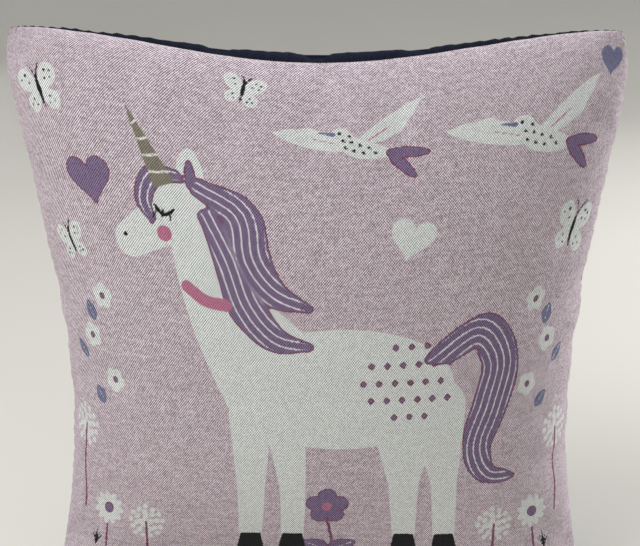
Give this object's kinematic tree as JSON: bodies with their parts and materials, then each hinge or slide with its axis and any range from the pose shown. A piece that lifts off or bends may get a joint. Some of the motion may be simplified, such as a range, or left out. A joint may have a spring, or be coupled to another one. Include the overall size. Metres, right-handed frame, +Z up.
{
  "type": "throw cushion",
  "caption": "Square stuffed throw cushion with a woven picture front, a plain dark back, a zip across the lower back and an inner pad.",
  "frame": {"origin": "centre of the bounding box on the floor the cushion stands on", "axes": "+Z up, the picture side faces -Y, +X to the right as seen from the picture side, y = 0 is the seam plane"},
  "size_m": [0.4166, 0.1604, 0.4353],
  "materials": {
    "picture_cloth": "jacquard weave in pink with a woven picture",
    "navy_cloth": "plain twill, dark navy",
    "thread": "sewing thread",
    "zip_tape": "woven zip tape",
    "zip_coil": "nylon zip teeth",
    "zip_metal": "dark lacquered zinc",
    "pad_cloth": "white plain weave",
    "fibre": "polyester fibre filling"
  },
  "bodies": {
    "cover": {"front_panel": "picture_cloth", "back_panel_upper": "navy_cloth", "back_panel_lower": "navy_cloth", "seam_allowance": "navy_cloth", "seam_stitching": "thread", "zip_tape_upper": "zip_tape", "zip_tape_lower": "zip_tape", "zip_teeth_upper": "zip_coil", "zip_teeth_lower": "zip_coil", "zip_top_stop": "zip_metal", "zip_bottom_stop": "zip_metal", "zip_stitching_upper": "thread", "zip_stitching_lower": "thread", "pad_cover_front": "pad_cloth", "pad_cover_back": "pad_cloth", "pad_filling": "fibre"},
    "zip_slider": {"zip_slider": "zip_metal"},
    "zip_pull_tab": {"zip_pull_tab": "zip_metal"}
  },
  "joints": [
    {"name": "slider_along_zip", "type": "hinge", "parent": "cover", "child": "zip_slider", "pos_m": [0, -0.41567, 0.104], "axis": [0, 0, -1], "range_deg": [0, 24.1]},
    {"name": "pull_tab_flip", "type": "hinge", "parent": "zip_slider", "child": "zip_pull_tab", "pos_m": [-0.10195, 0.06145, 0.10303], "axis": [-0.0434, 0.2033, 0.9781], "range_deg": [0, 165]}
  ]
}
